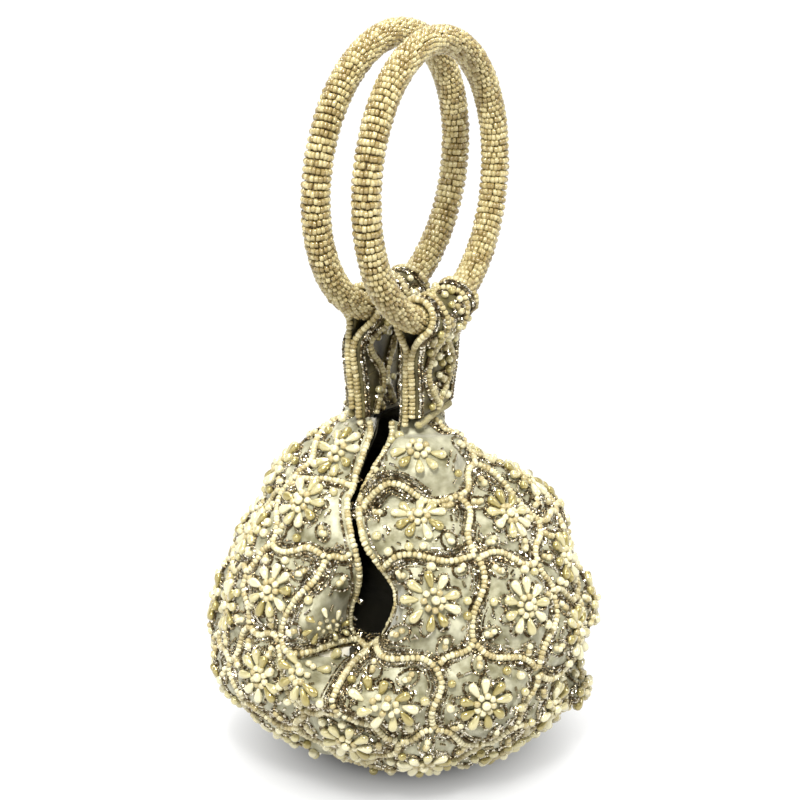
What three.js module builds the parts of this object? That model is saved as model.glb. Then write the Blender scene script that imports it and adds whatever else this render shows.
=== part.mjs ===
// Evening bag: a soft two-panel pouch with a slit down each side. Each panel ends in a strap that
// folds over a bead-wrapped ring handle. Millimetres, +Z up, origin on the ground at the centre of
// the base. The front panel faces -Y and the slits face -X and +X.
import * as THREE from "three";
import { mergeVertices } from "three/addons/utils/BufferGeometryUtils.js";

// Driving dimensions.
const neckHeight = 116; // top edge of the pouch, where the straps begin
const slitBottom = 56;
const slitBelly = 72; // height at which the slit gapes widest
const slitHalfWidth = 2.3; // along the slit's narrow stretch
const bellyExtra = 5.5; // what the belly adds to that
const mouthExtra = 2.2; // what the open neck adds
const slitTwist = 16; // degrees that the lower pouch is turned from the straps, about Z
const twistEnds = [76, 104]; // heights between which the twist fades
const neckShift = 2; // how far the neck sits towards the back panel
const neckShiftSpan = 36; // height below the neck over which it gets there
const pouchDepthRatio = 0.98; // front-to-back size over side-to-side size
const neckReach = 50; // degrees of arc on each side of a panel's middle, at the neck
const flatSpan = 26; // height below the neck over which the panels flatten
const gap = 0.3; // clearance between touching pieces

const ringRadius = 44; // to the centre of the tube
const ringTube = 4.7; // outer radius of the bead wrap
const beadWrapWall = 1.1;
const ringHeight = 195;
const ringLean = 1.5; // degrees, the rings lean together at the top
const casingWall = 1.4;
const casingClearance = 0.5;
const casingHalfAngle = 19; // degrees of the ring held by the strap's loop, each way

const strapWidth = 29;
const strapWaist = 0.84; // width at the neck over width at the ring
const strapThickness = 3;
const strapRound = 1.2;
const hemRadius = 1.3;
const hemLift = 0.9; // height of the hem's underside above the neck

// Each wall of the pouch is three layers: depth of the outer and inner face below the surface.
const layers = { shell: [0, 1.2], interlining: [1.5, 2.9], lining: [3.2, 4] };

// The two sides, as seen from the pouch's axis: where the ring and the strap's top stand.
const sides = [
  { name: "front", turn: 0, outward: -1, ringX: -2.96, ringY: -11.6, ringYaw: 0, strapTopY: -9.8 },
  { name: "back", turn: 180, outward: 1, ringX: 2.96, ringY: 7.6, ringYaw: -2.2, strapTopY: 11.6 },
];

const palette = {
  satin: { color: 0xc9c9b4, roughness: 0.45, metalness: 0.1 },
  interlining: { color: 0xe4e0d2, roughness: 0.95, metalness: 0 },
  lining: { color: 0x8d8a70, roughness: 0.5, metalness: 0 },
  binding: { color: 0x9a9060, roughness: 0.6, metalness: 0 },
  resin: { color: 0xd9cfae, roughness: 0.5, metalness: 0 },
  beads: { color: 0xe6dcae, roughness: 0.3, metalness: 0 },
};

const radians = THREE.MathUtils.degToRad;
const up = new THREE.Vector3(0, 0, 1);
const smooth = (value, low, high) => THREE.MathUtils.smoothstep(value, low, high);

function named(name, geometry, finish) {
  const mesh = new THREE.Mesh(geometry, new THREE.MeshStandardMaterial(palette[finish]));
  mesh.name = name;
  return mesh;
}

// Radius and height along the pouch's side, from the middle of its base to the neck.
const pouchOutline = new THREE.CatmullRomCurve3(
  [
    [25, 0], [39, 2.5], [51, 9], [60, 20], [64.5, 34], [64.8, 46], [62, 60],
    [56.5, 73], [49.5, 85], [40, 96.5], [28.5, 106], [16.5, 112], [10, neckHeight],
  ].map(([radius, height]) => new THREE.Vector3(radius, 0, height)),
  false,
  "centripetal",
);
const panelSteps = { across: 14, up: 16 };
const baseSteps = 2; // of the steps up, those spent on the flat base
const baseShare = baseSteps / panelSteps.up;

// Radius and height at step t, which runs from 0 at the base's middle to 1 at the neck.
function outlinePoint(t) {
  const baseEdge = pouchOutline.points[0].x;
  if (t <= baseShare) {
    return { radius: baseEdge * (t / baseShare), height: 0 };
  }
  const place = pouchOutline.getPoint((t - baseShare) / (1 - baseShare));
  return { radius: place.x, height: place.z };
}

// Half the distance between the two panels' edges at a height.
function halfSlit(height) {
  const narrow = slitHalfWidth * smooth(height, slitBottom, slitBottom + 9);
  const mouth = mouthExtra * smooth(height, neckHeight - 14, neckHeight);
  const opening = smooth(height, slitBottom, slitBelly);
  const closing = 1 - smooth(height, slitBelly, slitBelly + 17);
  return gap / 2 + narrow + mouth + bellyExtra * opening * closing;
}

// Point of a panel's outer face: across runs from -1 at one slit to 1 at the other. The panel is
// half round at the belly and only gently curved at the neck.
function facePoint(across, t) {
  const { radius, height } = outlinePoint(t);
  const edge = halfSlit(height);
  const flatness = smooth(height, neckHeight - flatSpan, neckHeight);
  const reach = radians(THREE.MathUtils.lerp(90, neckReach, flatness));
  const halfWidth = THREE.MathUtils.lerp(radius, (strapWidth * strapWaist) / 2, flatness ** 3);
  const crown = Math.max(radius * pouchDepthRatio - edge, 0) / (1 - Math.cos(reach));
  const x = (halfWidth * Math.sin(across * reach)) / Math.sin(reach);
  const y = -edge - crown * (Math.cos(across * reach) - Math.cos(reach));
  const twist = radians(slitTwist) * (1 - smooth(height, ...twistEnds));
  return new THREE.Vector3(x, y, height).applyAxisAngle(up, twist);
}

// The same point moved inwards, square to the face, by depth.
function panelPoint(across, t, depth) {
  const step = 1e-3;
  const [low, high] = [Math.min(t, 1 - step), Math.min(t + step, 1)];
  const climb = facePoint(across, high).sub(facePoint(across, low));
  const sweep = facePoint(across + step, t).sub(facePoint(across - step, t));
  const inward = climb.cross(sweep).normalize();
  return facePoint(across, t).addScaledVector(inward, depth);
}

// Closed body between two depths of one panel. Both faces fan out from the base's middle.
function panelLayer([outerDepth, innerDepth]) {
  const { across, up: rows } = panelSteps;
  const faceSize = 1 + rows * (across + 1);
  const positions = [];
  for (const depth of [outerDepth, innerDepth]) {
    positions.push(0, -gap / 2, depth);
    for (let row = 1; row <= rows; row += 1) {
      for (let column = 0; column <= across; column += 1) {
        positions.push(...panelPoint((2 * column) / across - 1, row / rows, depth));
      }
    }
  }

  const outer = (row, column) => (row === 0 ? 0 : 1 + (row - 1) * (across + 1) + column);
  const inner = (row, column) => faceSize + outer(row, column);
  const triangles = [];
  const quad = (a, b, c, d) => triangles.push(a, b, c, a, c, d);
  for (let column = 0; column < across; column += 1) {
    const next = column + 1;
    triangles.push(outer(0, 0), outer(1, next), outer(1, column));
    triangles.push(inner(0, 0), inner(1, column), inner(1, next));
    for (let row = 1; row < rows; row += 1) {
      quad(outer(row, column), outer(row, next), outer(row + 1, next), outer(row + 1, column));
      quad(inner(row, column), inner(row + 1, column), inner(row + 1, next), inner(row, next));
    }
    quad(outer(rows, column), outer(rows, next), inner(rows, next), inner(rows, column));
  }
  for (let row = 0; row < rows; row += 1) {
    quad(inner(row, 0), outer(row, 0), outer(row + 1, 0), inner(row + 1, 0));
    quad(outer(row, across), inner(row, across), inner(row + 1, across), outer(row + 1, across));
  }

  const geometry = new THREE.BufferGeometry();
  geometry.setAttribute("position", new THREE.Float32BufferAttribute(positions, 3));
  geometry.setIndex(triangles);
  return geometry;
}

function bareMesh(geometry) {
  geometry.deleteAttribute("normal");
  geometry.deleteAttribute("uv");
  return mergeVertices(geometry, 1e-4);
}

function moveVertices(geometry, move) {
  const place = new THREE.Vector3();
  const positions = geometry.getAttribute("position");
  for (let i = 0; i < positions.count; i += 1) {
    move(place.fromBufferAttribute(positions, i));
    positions.setXYZ(i, place.x, place.y, place.z);
  }
  return geometry;
}

// Tube with a wall, bent along the ring's circle and centred on the ring's lowest point.
function bentSleeve(innerRadius, outerRadius, halfAngle, steps, aroundSteps) {
  const reach = radians(halfAngle);
  const outline = [];
  for (let i = 0; i <= steps; i += 1) {
    outline.push(new THREE.Vector2(outerRadius, THREE.MathUtils.lerp(-reach, reach, i / steps)));
  }
  for (let i = steps; i >= 0; i -= 1) {
    outline.push(new THREE.Vector2(innerRadius, THREE.MathUtils.lerp(-reach, reach, i / steps)));
  }
  outline.push(outline[0].clone());
  return moveVertices(bareMesh(new THREE.LatheGeometry(outline, aroundSteps)), (place) => {
    const fromCentre = ringRadius + place.x;
    const angle = place.y;
    place.set(fromCentre * Math.sin(angle), -place.z, -fromCentre * Math.cos(angle));
  });
}

function bandSection(width, thickness, round) {
  const [x, y] = [width / 2, thickness / 2];
  const shape = new THREE.Shape();
  shape.moveTo(-x + round, -y);
  shape.lineTo(x - round, -y);
  shape.quadraticCurveTo(x, -y, x, -y + round);
  shape.lineTo(x, y - round);
  shape.quadraticCurveTo(x, y, x - round, y);
  shape.lineTo(-x + round, y);
  shape.quadraticCurveTo(-x, y, -x, y - round);
  shape.lineTo(-x, -y + round);
  shape.quadraticCurveTo(-x, -y, -x + round, -y);
  return shape;
}

// One leg of a folded strap: it widens upwards and runs from one Y at its foot to another at its top.
function strapLeg(bottom, top, bottomY, topY, thickness) {
  const height = top - bottom;
  const leg = new THREE.ExtrudeGeometry(bandSection(strapWidth, thickness, strapRound), {
    depth: height,
    steps: 5,
    bevelEnabled: false,
    curveSegments: 2,
  });
  return moveVertices(bareMesh(leg), (place) => {
    const share = place.z / height;
    place.x *= THREE.MathUtils.lerp(strapWaist, 1, smooth(share, 0, 0.8));
    place.y += THREE.MathUtils.lerp(bottomY, topY, share);
    place.z += bottom;
  });
}

const casingOuter = ringTube + casingClearance + casingWall;
const ringBottomHeight = ringHeight - ringRadius;
const strapTop = ringBottomHeight - casingOuter - gap;

function ringPlacement(side) {
  const placement = new THREE.Group();
  placement.position.set(side.ringX, side.ringY, ringHeight);
  placement.rotation.set(radians(side.outward * ringLean), 0, radians(side.ringYaw), "ZXY");
  return placement;
}

function ringPieces(side) {
  const placement = ringPlacement(side);
  const coreTube = ringTube - beadWrapWall - gap;
  const joinHalfAngle = THREE.MathUtils.radToDeg(1 / ringRadius) / 2;
  const core = new THREE.TorusGeometry(ringRadius, coreTube, 8, 48);
  core.rotateX(Math.PI / 2);
  const wrap = bentSleeve(ringTube - beadWrapWall, ringTube, 180 - joinHalfAngle, 44, 8);
  wrap.rotateY(Math.PI);
  const casing = bentSleeve(ringTube + casingClearance, casingOuter, casingHalfAngle, 5, 12);
  placement.add(named(`${side.name}_ring_core`, bareMesh(core), "resin"));
  placement.add(named(`${side.name}_bead_wrap`, wrap, "beads"));
  placement.add(named(`${side.name}_casing`, casing, "satin"));
  return placement;
}

function strapPieces(side) {
  const straps = new THREE.Group();
  const wall = layers.lining[1];
  const wallTop = pouchOutline.points.at(-1).x * pouchDepthRatio;
  const innerY = side.outward * (wallTop - wall / 2) + neckShift;
  const legStep = side.outward * (wall / 2 + gap + strapThickness / 2);
  const pairShift = side.outward * (strapThickness + gap) * 0.5;
  const innerFoot = neckHeight + gap;
  const outerFoot = neckHeight + hemLift + hemRadius + gap;
  const innerTopY = side.strapTopY - pairShift;
  const outerTopY = side.strapTopY + pairShift;
  const inner = strapLeg(innerFoot, strapTop, innerY, innerTopY, wall - 1);
  const outer = strapLeg(outerFoot, strapTop, innerY + legStep, outerTopY, strapThickness);
  const hem = new THREE.CapsuleGeometry(hemRadius, strapWidth * strapWaist - 2 * hemRadius, 3, 10);
  hem.rotateZ(Math.PI / 2);
  const hemMesh = named(`${side.name}_hem`, bareMesh(hem), "binding");
  hemMesh.position.set(0, innerY + legStep, outerFoot - gap - hemRadius);
  straps.add(named(`${side.name}_inner_strap`, inner, "satin"));
  straps.add(named(`${side.name}_outer_strap`, outer, "satin"));
  straps.add(hemMesh);
  return straps;
}

function pouchPieces(side) {
  const half = new THREE.Group();
  half.rotation.z = radians(side.turn);
  for (const [layer, depths] of Object.entries(layers)) {
    const panel = panelLayer(depths);
    moveVertices(panel, (place) => {
      const upward = smooth(place.z, neckHeight - neckShiftSpan, neckHeight);
      place.y -= side.outward * neckShift * upward;
    });
    half.add(named(`${side.name}_${layer}`, panel, layer === "shell" ? "satin" : layer));
  }
  return half;
}

const bag = new THREE.Group();
for (const side of sides) {
  bag.add(pouchPieces(side), strapPieces(side), ringPieces(side));
}

export default bag;
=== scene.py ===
"""Evening bag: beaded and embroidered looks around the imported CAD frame. Lengths in the functions
below are millimetres, and they become metres when a mesh is made."""

import math

import bpy
import numpy as np
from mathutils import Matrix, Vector
from mathutils.kdtree import KDTree


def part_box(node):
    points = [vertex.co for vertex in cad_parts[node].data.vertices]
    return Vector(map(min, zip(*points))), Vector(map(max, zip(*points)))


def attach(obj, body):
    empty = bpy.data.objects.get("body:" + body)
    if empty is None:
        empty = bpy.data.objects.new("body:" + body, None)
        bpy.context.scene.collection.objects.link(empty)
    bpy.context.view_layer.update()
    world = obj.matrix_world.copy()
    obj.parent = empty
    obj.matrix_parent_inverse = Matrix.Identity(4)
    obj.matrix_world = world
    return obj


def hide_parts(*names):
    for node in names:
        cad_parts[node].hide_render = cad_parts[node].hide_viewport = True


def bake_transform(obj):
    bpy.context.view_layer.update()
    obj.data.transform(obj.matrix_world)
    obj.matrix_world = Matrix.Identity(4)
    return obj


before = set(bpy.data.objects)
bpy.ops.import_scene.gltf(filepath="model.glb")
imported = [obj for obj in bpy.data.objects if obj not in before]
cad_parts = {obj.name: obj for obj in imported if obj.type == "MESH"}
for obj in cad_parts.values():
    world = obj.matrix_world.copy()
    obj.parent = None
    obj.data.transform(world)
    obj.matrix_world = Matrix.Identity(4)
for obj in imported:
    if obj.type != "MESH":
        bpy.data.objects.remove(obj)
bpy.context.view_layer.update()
random = np.random.default_rng(185)

MM = 0.001

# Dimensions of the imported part, in millimetres.
NECK_HEIGHT = 116.0
SLIT_BOTTOM, SLIT_BELLY = 56.0, 72.0
SLIT_TWIST = 16.0
POUCH_DEPTH_RATIO = 0.98
NECK_WIDTH = 24.4
NECK_SHIFT = 2.0
BASE_EDGE = 25.0
BASE_SHARE = 0.125
RING_RADIUS = 44.0
RING_TUBE = 4.7
OUTLINE = np.array([
    [25, 0], [39, 2.5], [51, 9], [60, 20], [64.5, 34], [64.8, 46], [62, 60],
    [56.5, 73], [49.5, 85], [40, 96.5], [28.5, 106], [16.5, 112], [10, 116],
])

# What is sewn on.
BEAD_PITCH, BEAD_SIZE = 1.45, 2.15
PEARL_TOP = 112.3  # nothing tall is sewn above this, where a strap's hem swings down
SHADES = 3  # each kind of bead and thread comes in this many shades

SIDES = {"front": 0.0, "back": 180.0}


def smooth(value, low, high):
    share = np.clip((value - low) / (high - low), 0, 1)
    return share * share * (3 - 2 * share)


def plateau(value, low, high, down, end):
    """0 below low, 1 between high and down, and 0 again above end."""
    return smooth(value, low, high) * (1 - smooth(value, down, end))


def bell(value, middle, width):
    return np.exp(-(((value - middle) / width) ** 2))


def unit(vectors):
    lengths = np.linalg.norm(vectors, axis=-1, keepdims=True)
    return vectors / np.maximum(lengths, 1e-9)


def node_centre(name):
    low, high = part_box(name)
    return (np.array(low) + np.array(high)) / 2 / MM


def run_along(points):
    """Length along a polyline up to each of its points."""
    return np.concatenate([[0], np.cumsum(np.linalg.norm(np.diff(points, axis=0), axis=1))])


# ---------------------------------------------------------------- the pouch's surface


def catmull_rom(points, share):
    """Centripetal Catmull-Rom curve through the points, at shares from 0 to 1."""
    ends = np.vstack([2 * points[0] - points[1], points, 2 * points[-1] - points[-2]])
    place = np.clip(share, 0, 1) * (len(points) - 1)
    span = np.minimum(place.astype(int), len(points) - 2)
    w = (place - span)[..., None]
    p0, p1, p2, p3 = (ends[span + k] for k in range(4))
    gaps = [np.linalg.norm(b - a, axis=-1, keepdims=True) for a, b in ((p0, p1), (p1, p2), (p2, p3))]
    d0, d1, d2 = np.sqrt(gaps)
    t1 = ((p1 - p0) / d0 - (p2 - p0) / (d0 + d1) + (p2 - p1) / d1) * d1
    t2 = ((p2 - p1) / d1 - (p3 - p1) / (d1 + d2) + (p3 - p2) / d2) * d1
    return p1 + t1 * w + (3 * (p2 - p1) - 2 * t1 - t2) * w**2 + (2 * (p1 - p2) + t1 + t2) * w**3


def outline(t):
    """Radius and height of the pouch at step t, from the base's middle to the neck."""
    place = catmull_rom(OUTLINE.astype(float), (t - BASE_SHARE) / (1 - BASE_SHARE))
    on_base = t <= BASE_SHARE
    radius = np.where(on_base, BASE_EDGE * t / BASE_SHARE, place[..., 0])
    return radius, np.where(on_base, 0, place[..., 1])


def half_slit(height):
    narrow = 2.3 * smooth(height, SLIT_BOTTOM, SLIT_BOTTOM + 9)
    mouth = 2.2 * smooth(height, NECK_HEIGHT - 14, NECK_HEIGHT)
    return narrow + mouth + 5.5 * plateau(height, SLIT_BOTTOM, SLIT_BELLY, SLIT_BELLY, SLIT_BELLY + 17)


def twist_at(height):
    return SLIT_TWIST * (1 - smooth(height, 76, 104))


def turned(points, degrees):
    """Points turned about the vertical axis."""
    cos, sin = np.cos(np.radians(degrees)), np.sin(np.radians(degrees))
    x, y, z = np.moveaxis(points, -1, 0)
    return np.stack([x * cos - y * sin, x * sin + y * cos, z], -1)


def base_point(side, across, t):
    """Point of a panel's face as the CAD has it."""
    radius, height = outline(t)
    edge = half_slit(height)
    flatness = smooth(height, NECK_HEIGHT - 26, NECK_HEIGHT)
    reach = np.radians(90 - 40 * flatness)
    half_width = radius + (NECK_WIDTH / 2 - radius) * flatness**3
    crown = np.maximum(radius * POUCH_DEPTH_RATIO - edge, 0) / (1 - np.cos(reach))
    x = half_width * np.sin(across * reach) / np.sin(reach)
    y = -edge - crown * (np.cos(across * reach) - np.cos(reach))
    points = turned(np.stack([x, y, height + 0 * x], -1), twist_at(height) + SIDES[side])
    points[..., 1] += NECK_SHIFT * smooth(points[..., 2], NECK_HEIGHT - 36, NECK_HEIGHT)
    return points


def steps_normal(surface, side, across, t, step=2e-3):
    """Outward normal of a surface function, by small steps."""
    t = np.maximum(t, 3 * step)
    climb = surface(side, across, np.minimum(t + step, 1)) - surface(side, across, t - step)
    sweep = surface(side, across + step, t) - surface(side, across - step, t)
    return unit(np.cross(sweep, climb))


def azimuth(points):
    """Degrees about the pouch's axis, from -X towards -Y."""
    return np.degrees(np.arctan2(-points[..., 1], -points[..., 0]))


def from_nearest_slit(points):
    """Degrees about the axis from the nearer slit."""
    return (azimuth(points) - twist_at(points[..., 2]) + 90) % 180 - 90


# Rounded folds and bulges of the slumped cloth: how far out, then a middle and a width sideways, then
# a middle and a width in height. Sideways is millimetres from the slit in the first list and degrees
# about the axis in the second.
SLIT_FOLDS = [(3.5, -20, 5, 66, 14), (3.0, 17, 5, 70, 14), (6.5, -3, 20, 44, 7)]
SIDE_BULGES = [(4.0, 104, 20, 19, 7), (-10.0, 114, 28, 33, 7), (-5.0, 158, 24, 91, 9)]
DIMPLE_DEPTH = 25.0
LEDGE_DEPTH, LEDGE_GROOVE = 6.5, 3.5
UPPER_ROLL = 2.6
FAR_CREASE = 4.0
SLIT_FOOT_TURN, SLIT_FOOT_DROP = -8.0, 4.5


def rounded(rows, sideways_place, height):
    return sum(
        out * bell(sideways_place, middle, width) * bell(height, level, spread)
        for out, middle, width, level, spread in rows
    )


def facing(turn, middle):
    """1 where the pouch faces an azimuth, falling off to both sides."""
    return np.cos(np.radians(turn - middle) / 2) ** 8


def slump(points):
    """How far the cloth stands out from the CAD face, before quilting: the slit's rolled edges, the
    lip under it, the crease below the neck and the settled belly. Both slits are alike."""
    x, y, height = np.moveaxis(points, -1, 0)
    turn = azimuth(points)
    u = np.radians(from_nearest_slit(points)) * np.hypot(x, y)
    turned_in = np.where(u < 0, 1 - smooth(-u, 5, 17), 1 - smooth(u, 4, 13))
    dimple = DIMPLE_DEPTH * turned_in * plateau(height, 48, 59, 68, 90)
    ledge = LEDGE_DEPTH * plateau(height, 99.5, 102.5, 107, 114) - LEDGE_GROOVE * bell(height, 98, 3)
    ledge *= plateau(u, 2, 7, 26, 38)
    far_crease = FAR_CREASE * bell(height, 103, 3) * plateau(-u, 3, 9, 22, 34)
    behind = plateau(turn % 360, 80, 128, 190, 225)
    shoulder = behind * (6.2 * bell(height, 104, 12) + 4.2 * bell(height, 65, 13))
    left_shoulder = facing(turn, -62) * (1.6 * bell(height, 76, 26) - 2.2 * bell(height, 107, 6))
    low_left = facing(turn, -58) * (3.6 * (1 - smooth(height, 14, 28)) - 1.8 * bell(height, 36, 9))
    low_right = facing(turn, 112) * (1 - smooth(height, 25, 50))
    pushed_in = dimple + far_crease - ledge + shoulder + left_shoulder + low_left + low_right + 1.0
    waves = np.sin(0.12 * x + 0.05 * height + 1) * np.sin(0.11 * y - 0.07 * height) * smooth(height, 4, 20)
    stands_out = rounded(SLIT_FOLDS, u, height) + rounded(SIDE_BULGES, turn, height) + 1.4 * waves
    steady = 1 - smooth(height, 108, 114)
    upper_roll = UPPER_ROLL * bell(u, 0, 6) * smooth(height, 84, 98)
    lift = 2.3 * (1 - smooth(height, 0, 12)) + 2.6 * bell(height, 13, 9) * smooth(height, 1, 8)
    return (stands_out - pushed_in) * steady - upper_roll - lift


def sagged(points):
    """The foot of each slit hangs over and down to one side, with the cloth around it."""
    share = bell(from_nearest_slit(points), -2, 24) * bell(points[..., 2], 54, 10)
    moved = turned(points, SLIT_FOOT_TURN * share)
    moved[..., 2] -= SLIT_FOOT_DROP * share
    return moved


# Flower places on half of the pouch: degrees about the axis and height. The other half repeats them
# half a turn on.
HALF_SITES = [
    (37, 105.5), (145, 106),
    (-22, 94), (34, 95), (77, 91), (110, 95),
    (-48, 79), (100, 72),
    (-18, 70), (4, 65), (36, 73), (66, 67),
    (-42, 56), (4, 51), (25, 44), (50, 40), (90, 50), (117, 50),
    (-17, 42), (11, 26), (82, 25), (106, 24), (-45, 26),
    (-25, 13), (34, 15), (67, 10), (98, 9), (128, 8),
]
BASE_SITES = [(20, 24), (80, 24), (140, 24)]  # degrees and radius


def panel_grid(across_steps, up_steps):
    across, t = np.meshgrid(np.linspace(-1, 1, across_steps + 1), np.linspace(0, 1, up_steps + 1))
    return across, t


def step_at(height):
    """The surface step at a height on the pouch's wall."""
    steps = np.linspace(BASE_SHARE, 1, 1051)
    return float(np.interp(height, outline(steps)[1], steps))


def place_site(turn, t):
    """The panel and surface place of a flower, from its azimuth and its surface step."""
    samples = np.linspace(-1, 1, 721)
    for side in SIDES:
        ring = base_point(side, samples, np.full(samples.shape, t))
        off = abs((azimuth(ring) - turn + 180) % 360 - 180)
        best = int(np.argmin(off))
        if off[best] < 1.5:
            return side, samples[best], t
    raise ValueError(f"no panel at {turn}, {t}")


half_sites = [(turn, step_at(height)) for turn, height in HALF_SITES]
half_sites += [(turn, BASE_SHARE * radius / BASE_EDGE) for turn, radius in BASE_SITES]
SITES = [place_site(turn + half_turn, t) for half_turn in (0, 180) for turn, t in half_sites]
SITE_PLACES = np.array([base_point(side, np.array(s), np.array(t)) for side, s, t in SITES])


def wall_distance(points):
    """Distance to the nearest cell wall, and the cell each point is in. Two cells meet halfway."""
    flat = points.reshape(-1, 3)
    squared = ((flat[:, None, :] - SITE_PLACES[None]) ** 2).sum(-1)
    own = squared.argmin(1)
    gaps = np.linalg.norm(SITE_PLACES[:, None] - SITE_PLACES[None], axis=-1)
    near = (squared - squared[np.arange(len(flat)), own][:, None]) / np.maximum(2 * gaps[own], 1e-6)
    near[np.arange(len(flat)), own] = np.inf
    return near.min(1).reshape(points.shape[:-1]), own.reshape(points.shape[:-1])


def raised(side, across, t, amount=0.0):
    """Point of the slumped face, moved out by an amount."""
    points = base_point(side, across, t)
    normal = steps_normal(base_point, side, across, t)
    return sagged(points + normal * (slump(points) + amount)[..., None])


def cloth_point(side, across, t, depth=0.0):
    """Point of the outer cloth: slumped, quilted between the cell walls, and moved in by depth."""
    from_wall = wall_distance(base_point(side, across, t))[0]
    return raised(side, across, t, 2.0 * smooth(from_wall, 0.4, 7.5) - 0.9 - depth)


def cloth_frame(side, across, t):
    """Places on the cloth and their outward normals."""
    return cloth_point(side, across, t), steps_normal(raised, side, across, t)


PANEL_TREES = {}


def panel_tree(side):
    """Coarse places of a panel in a search tree, with their across and t."""
    if side not in PANEL_TREES:
        across, t = (grid[4:] for grid in panel_grid(60, 90))
        places = base_point(side, across, t).reshape(-1, 3)
        tree = KDTree(len(places))
        for index, place in enumerate(places):
            tree.insert(place, index)
        tree.balance()
        PANEL_TREES[side] = tree, across.ravel(), t.ravel()
    return PANEL_TREES[side]


def find_on_panel(side, targets, rounds=4):
    """The panel's across and t nearest to each target point, by Gauss-Newton steps."""
    tree, across, t = panel_tree(side)
    nearest = np.array([tree.find(target)[1] for target in targets])
    s, v = across[nearest], t[nearest]
    step = 1e-3
    for _ in range(rounds):
        top = np.minimum(v + step, 1)
        ds = (base_point(side, s + step, v) - base_point(side, s - step, v)) / (2 * step)
        dv = (base_point(side, s, top) - base_point(side, s, v - step)) / (top - v + step)[:, None]
        miss = targets - base_point(side, s, v)
        a, b, c = (ds * ds).sum(1) + 1e-3, (ds * dv).sum(1), (dv * dv).sum(1) + 1e-3
        e, f = (ds * miss).sum(1), (dv * miss).sum(1)
        det = a * c - b * b
        s = np.clip(s + (c * e - b * f) / det, -1.05, 1.05)
        v = np.clip(v + (a * f - b * e) / det, 0.01, 1)
    return s, v


# ---------------------------------------------------------------- mesh making


class Pile:
    """Gathers many small shapes into one mesh."""

    def __init__(self):
        self.points = []
        self.faces = []
        self.count = 0

    def add(self, points, faces, material):
        """points (N, 3), faces as an (M, k) array, material one number or one for each face."""
        self.points.append(points)
        self.faces.append((faces + self.count, np.broadcast_to(material, (len(faces),))))
        self.count += len(points)

    def add_copies(self, template, centres, frames, sizes, materials):
        """Copies of a template at centres, each turned by its 3 frame rows and sized."""
        points, face_groups = template
        if len(centres) == 0:
            return
        local = points[None] * sizes[:, None, :]
        placed = centres[:, None, :] + np.einsum("nvk,nkd->nvd", local, frames)
        starts = self.count + np.arange(len(centres)) * len(points)
        self.points.append(placed.reshape(-1, 3))
        self.count += len(centres) * len(points)
        for faces in face_groups:
            spread = (faces[None] + starts[:, None, None]).reshape(-1, faces.shape[1])
            self.faces.append((spread, np.repeat(materials, len(faces))))

    def add_tube(self, rings, material):
        """A tube through rings (steps, sides, 3) with closed ends."""
        steps, sides = rings.shape[:2]
        k = np.arange(sides)
        after = (k + 1) % sides
        row = np.arange(steps - 1)[:, None] * sides
        quads = np.stack([row + k, row + sides + k, row + sides + after, row + after], -1)
        self.add(rings.reshape(-1, 3), quads.reshape(-1, 4), material)
        self.add(rings[0], k[None], 0)
        self.add(rings[-1], k[None, ::-1], 0)

    def build(self, name, materials, smooth_shading=True):
        mesh = bpy.data.meshes.new(name)
        points = np.concatenate(self.points) * MM
        mesh.vertices.add(len(points))
        mesh.vertices.foreach_set("co", points.astype(np.float32).ravel())
        corners = np.concatenate([faces.ravel() for faces, _ in self.faces])
        sizes = np.concatenate([np.full(len(faces), faces.shape[1]) for faces, _ in self.faces])
        mesh.loops.add(len(corners))
        mesh.loops.foreach_set("vertex_index", corners.astype(np.int32))
        mesh.polygons.add(len(sizes))
        mesh.polygons.foreach_set("loop_start", (np.cumsum(sizes) - sizes).astype(np.int32))
        indices = np.concatenate([material for _, material in self.faces])
        mesh.polygons.foreach_set("material_index", indices.astype(np.int32))
        mesh.polygons.foreach_set("use_smooth", np.full(len(sizes), smooth_shading))
        for material in materials:
            mesh.materials.append(material)
        mesh.update(calc_edges=True)
        mesh.validate()
        piece = bpy.data.objects.new(name, mesh)
        bpy.context.scene.collection.objects.link(piece)
        return piece


def sheet_piece(name, points, face_groups, material):
    """One mesh from its points and groups of faces."""
    pile = Pile()
    pile.points = points
    pile.faces = [(faces, np.zeros(len(faces), int)) for faces in face_groups]
    return pile.build(name, [material])


def lathe_template(profile, sides):
    """Closed shape turned about X: profile is (x, radius) from one tip to the other."""
    profile = np.array(profile, float)
    angles = 2 * np.pi * np.arange(sides) / sides
    rings = profile[1:-1]
    points = [[profile[0, 0], 0, 0]]
    for x, radius in rings:
        points += [[x, radius * np.cos(a), radius * np.sin(a)] for a in angles]
    points.append([profile[-1, 0], 0, 0])
    last = len(points) - 1
    k = np.arange(sides)
    after = (k + 1) % sides
    tips = [np.stack([0 * k, 1 + after, 1 + k], 1)]
    end = 1 + (len(rings) - 1) * sides
    tips.append(np.stack([0 * k + last, end + k, end + after], 1))
    quads = []
    for ring in range(len(rings) - 1):
        a, b = 1 + ring * sides, 1 + (ring + 1) * sides
        quads.append(np.stack([a + k, a + after, b + after, b + k], 1))
    return np.array(points, float), [np.concatenate(tips), np.concatenate(quads)]


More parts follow.
